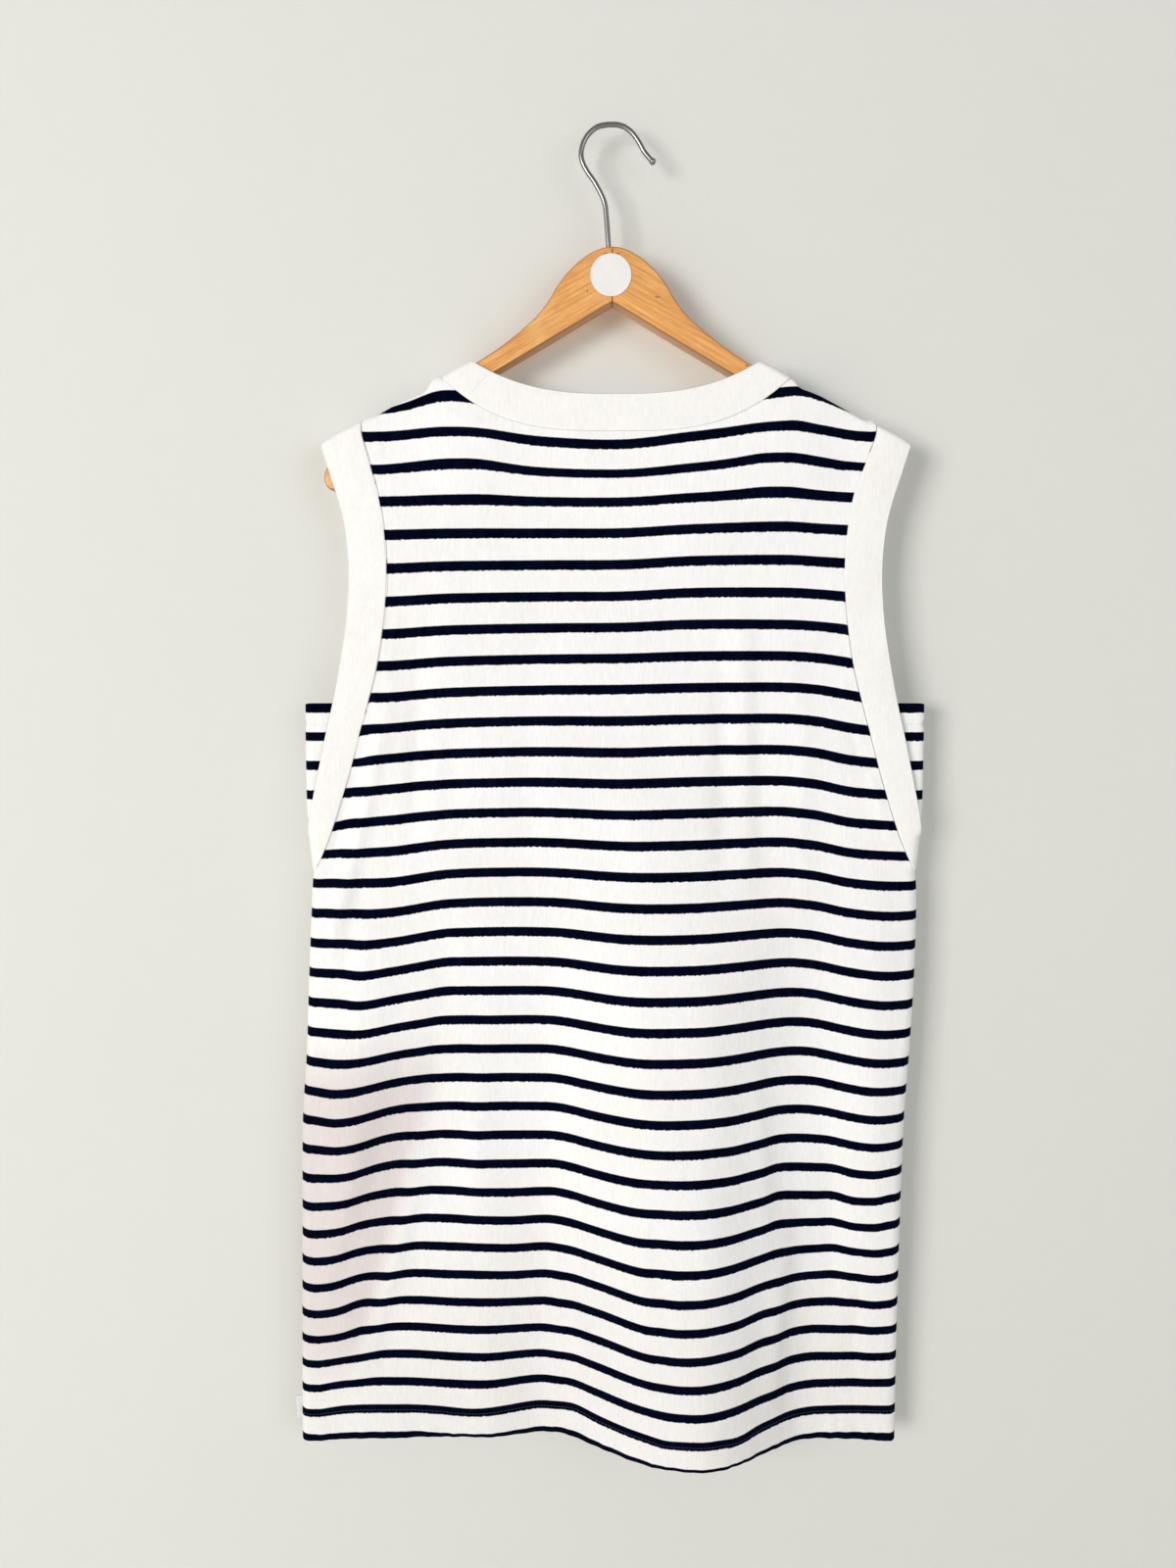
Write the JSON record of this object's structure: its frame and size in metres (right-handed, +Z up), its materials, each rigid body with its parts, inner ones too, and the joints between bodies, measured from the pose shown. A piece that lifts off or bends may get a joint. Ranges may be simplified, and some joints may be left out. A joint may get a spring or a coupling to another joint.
{
  "type": "mini dress on a hanger",
  "caption": "Sleeveless striped jersey mini dress with wide plain neck and armhole bands, hung flat on a wooden hanger with a steel hook.",
  "frame": {"origin": "top of the inside of the hanger's hook, where a rail or a peg bears", "axes": "+Z up; the back of the dress faces -Y and its front +Y; +X is to the right as seen from behind the dress"},
  "size_m": [0.5208, 0.0662, 1.0707],
  "materials": {
    "striped_jersey": "matte heavy cotton jersey, white with narrow navy stripes 24 mm apart",
    "band_jersey": "matte off-white cotton jersey, folded double",
    "wood": "satin clear-lacquered beech",
    "steel": "bright drawn wire",
    "sticker_paper": "smooth blank white paper",
    "label_ribbon": "thin translucent white ribbon, blank"
  },
  "bodies": {
    "root": {"dress_back": "striped_jersey", "dress_front": "striped_jersey", "neckband": "band_jersey", "armhole_band_left": "band_jersey", "armhole_band_right": "band_jersey", "inner_panel_left": "striped_jersey", "inner_panel_right": "striped_jersey", "side_label": "label_ribbon", "hanger_wood": "wood", "hanger_hook": "steel", "hanger_sticker": "sticker_paper"}
  },
  "joints": []
}
